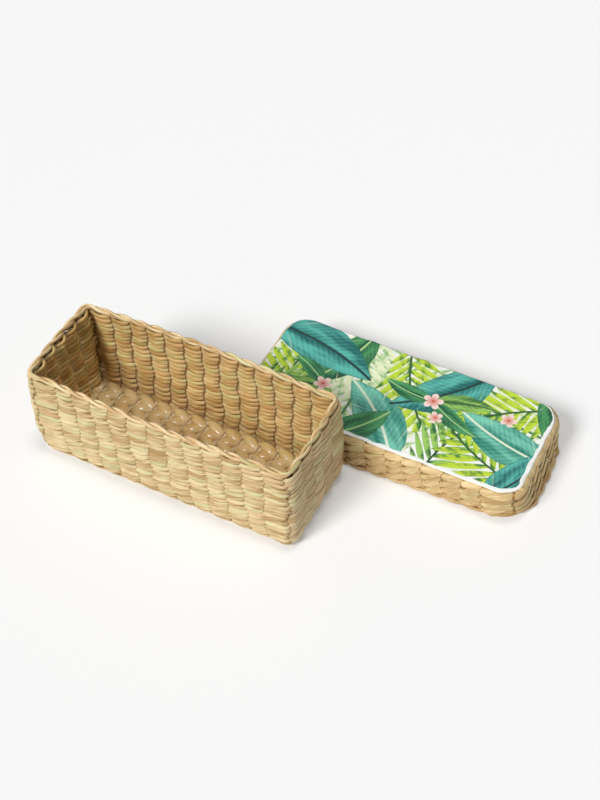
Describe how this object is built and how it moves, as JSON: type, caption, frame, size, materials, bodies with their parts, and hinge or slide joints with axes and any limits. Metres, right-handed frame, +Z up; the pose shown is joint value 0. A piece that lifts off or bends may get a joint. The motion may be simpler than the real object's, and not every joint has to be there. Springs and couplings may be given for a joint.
{
  "type": "lidded storage box",
  "caption": "Open rectangular woven seagrass storage box with a loose cap lid laid beside it; the lid's flat top carries a printed leaf-pattern cloth.",
  "frame": {"origin": "under the middle of the box's woven floor, on the surface that it stands on", "axes": "+X along the box's length, +Y from the box towards the lid that lies behind it, +Z up"},
  "size_m": [0.5056, 0.2775, 0.116],
  "materials": {
    "box_weave": "dry pale seagrass strands, soft satin sheen",
    "box_border": "dry pale seagrass strands, twisted pair",
    "box_stakes": "dry reed, matt",
    "box_floor": "broad golden reed, varnished",
    "lid_weave": "golden seagrass strands, satin",
    "lid_border": "golden seagrass strands, twisted pair",
    "lid_stakes": "dry reed, matt",
    "lid_floor": "broad golden reed, satin",
    "printed_sheet": "thin printed cloth, sealed, slightly glossy, crinkled white edge"
  },
  "bodies": {
    "box": {"box_border_inner": "box_border", "box_border_outer": "box_border", "box_course_01": "box_weave", "box_course_02": "box_weave", "box_course_03": "box_weave", "box_course_04": "box_weave", "box_course_05": "box_weave", "box_course_06": "box_weave", "box_course_07": "box_weave", "box_course_08": "box_weave", "box_course_09": "box_weave", "box_course_10": "box_weave", "box_course_11": "box_weave", "box_course_12": "box_weave", "box_course_13": "box_weave", "box_course_14": "box_weave", "box_edge_strand": "box_weave", "box_floor_strip_01": "box_floor", "box_floor_strip_02": "box_floor", "box_floor_strip_03": "box_floor", "box_floor_strip_04": "box_floor", "box_floor_strip_05": "box_floor", "box_stake_01": "box_stakes", "box_stake_02": "box_stakes", "box_stake_03": "box_stakes", "box_stake_04": "box_stakes", "box_stake_05": "box_stakes", "box_stake_06": "box_stakes", "box_stake_07": "box_stakes", "box_stake_08": "box_stakes", "box_stake_09": "box_stakes", "box_stake_10": "box_stakes", "box_stake_11": "box_stakes", "box_stake_12": "box_stakes", "box_stake_13": "box_stakes"},
    "lid": {"lid_border_inner": "lid_border", "lid_border_outer": "lid_border", "lid_course_01": "lid_weave", "lid_course_02": "lid_weave", "lid_course_03": "lid_weave", "lid_edge_strand": "lid_weave", "lid_floor_strip_01": "lid_floor", "lid_floor_strip_02": "lid_floor", "lid_floor_strip_03": "lid_floor", "lid_floor_strip_04": "lid_floor", "lid_floor_strip_05": "lid_floor", "lid_printed_sheet": "printed_sheet", "lid_stake_01": "lid_stakes", "lid_stake_02": "lid_stakes", "lid_stake_03": "lid_stakes", "lid_stake_04": "lid_stakes", "lid_stake_05": "lid_stakes", "lid_stake_06": "lid_stakes", "lid_stake_07": "lid_stakes", "lid_stake_08": "lid_stakes", "lid_stake_09": "lid_stakes", "lid_stake_10": "lid_stakes", "lid_stake_11": "lid_stakes", "lid_stake_12": "lid_stakes", "lid_stake_13": "lid_stakes"}
  },
  "joints": [
    {"name": "lid_lift", "type": "slide", "parent": "box", "child": "lid", "axis": [0, 0, 1], "range_m": [0, 0.14]}
  ]
}
